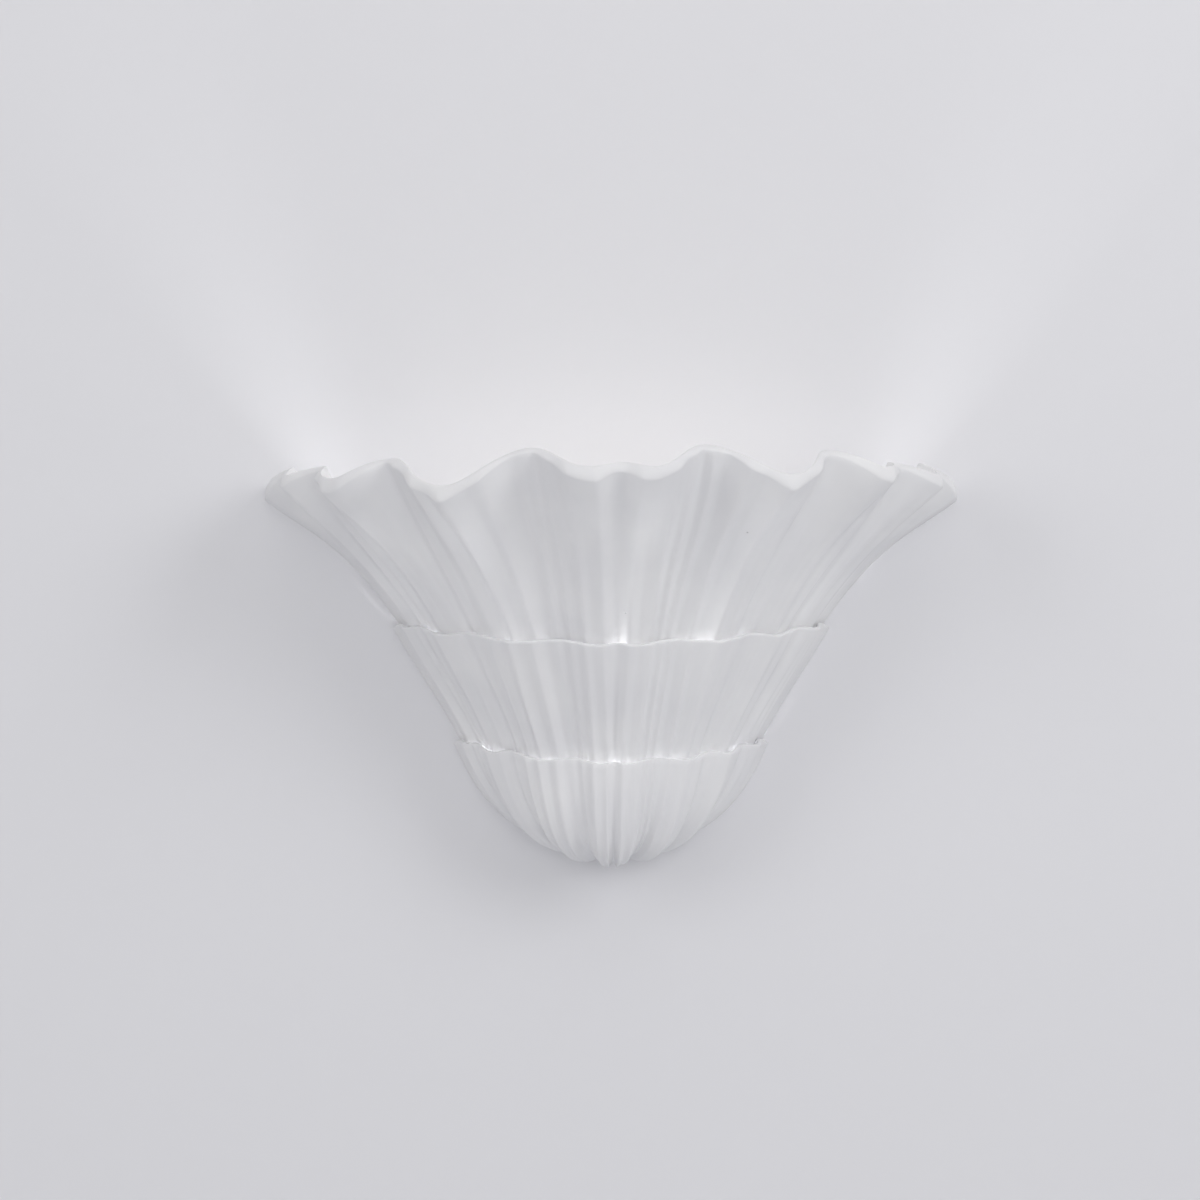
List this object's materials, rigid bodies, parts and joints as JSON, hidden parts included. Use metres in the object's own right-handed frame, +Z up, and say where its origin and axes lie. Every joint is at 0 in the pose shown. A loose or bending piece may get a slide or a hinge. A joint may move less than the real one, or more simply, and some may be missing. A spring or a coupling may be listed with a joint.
{
  "type": "shell wall sconce",
  "caption": "Plaster wall uplighter shaped as a ruffled, fluted shell in nested tiers, hung by a steel frame on a wall plate that carries the lampholders.",
  "frame": {"origin": "middle of the wall plate's back face, on the wall", "axes": "+Z up, +X to the right seen from the room, -Y out from the wall into the room"},
  "size_m": [0.438, 0.1859, 0.2573],
  "materials": {
    "plaster": "cast plaster, sealed matt white",
    "painted_steel": "satin white powder coat",
    "zinc_steel": "bright zinc plated",
    "brass": "turned, slightly dulled",
    "rubber": "moulded matt black",
    "nylon": "moulded natural white",
    "holder_plastic": "moulded white",
    "bulb_plastic": "moulded white",
    "frosted_globe": "frosted diffuser",
    "cap_metal": "nickel plated",
    "lead_brown": "brown insulation",
    "lead_blue": "blue insulation"
  },
  "bodies": {
    "wall_side": {"wall_plate": "painted_steel", "cable_grommet": "rubber", "lamp_bracket": "painted_steel", "bracket_screws": "zinc_steel", "terminal_block": "nylon", "clamp_screws": "zinc_steel", "earth_washer": "brass", "earth_screw": "brass", "holder_nipples": "zinc_steel", "holder_nuts": "zinc_steel", "lampholder_left": "holder_plastic", "socket_sleeve_left": "brass", "centre_contact_left": "brass", "lead_left_live": "lead_brown", "lead_left_neutral": "lead_blue", "lampholder_right": "holder_plastic", "socket_sleeve_right": "brass", "centre_contact_right": "brass", "lead_right_live": "lead_brown", "lead_right_neutral": "lead_blue"},
    "shell": {"upper_tier": "plaster", "middle_tier": "plaster", "lower_tier": "plaster", "shell_frame": "painted_steel", "threaded_inserts": "brass", "frame_screws": "zinc_steel"},
    "bulb_left_contact": {"bulb_tip_left": "cap_metal"},
    "bulb_left": {"bulb_cap_left": "cap_metal", "bulb_collar_left": "bulb_plastic", "bulb_globe_left": "frosted_globe"},
    "bulb_right_contact": {"bulb_tip_right": "cap_metal"},
    "bulb_right": {"bulb_cap_right": "cap_metal", "bulb_collar_right": "bulb_plastic", "bulb_globe_right": "frosted_globe"}
  },
  "joints": [
    {"name": "shell_lift", "type": "slide", "parent": "wall_side", "child": "shell", "axis": [0, 0, 1], "range_m": [0, 0.012]},
    {"name": "bulb_left_travel", "type": "slide", "parent": "wall_side", "child": "bulb_left_contact", "axis": [0, 0, 1], "range_m": [0, 0.01]},
    {"name": "bulb_left_turn", "type": "hinge", "parent": "bulb_left_contact", "child": "bulb_left", "pos_m": [-0.046, -0.045, 0.02], "axis": [0, 0, 1], "range_deg": [0, 1260]},
    {"name": "bulb_right_travel", "type": "slide", "parent": "wall_side", "child": "bulb_right_contact", "axis": [0, 0, 1], "range_m": [0, 0.01]},
    {"name": "bulb_right_turn", "type": "hinge", "parent": "bulb_right_contact", "child": "bulb_right", "pos_m": [0.046, -0.045, 0.02], "axis": [0, 0, 1], "range_deg": [0, 1260]}
  ],
  "couplings": [
    {"joint": "bulb_left_travel", "follows": "bulb_left_turn", "m_per_rad": 0.00044882},
    {"joint": "bulb_right_travel", "follows": "bulb_right_turn", "m_per_rad": 0.00044882}
  ]
}
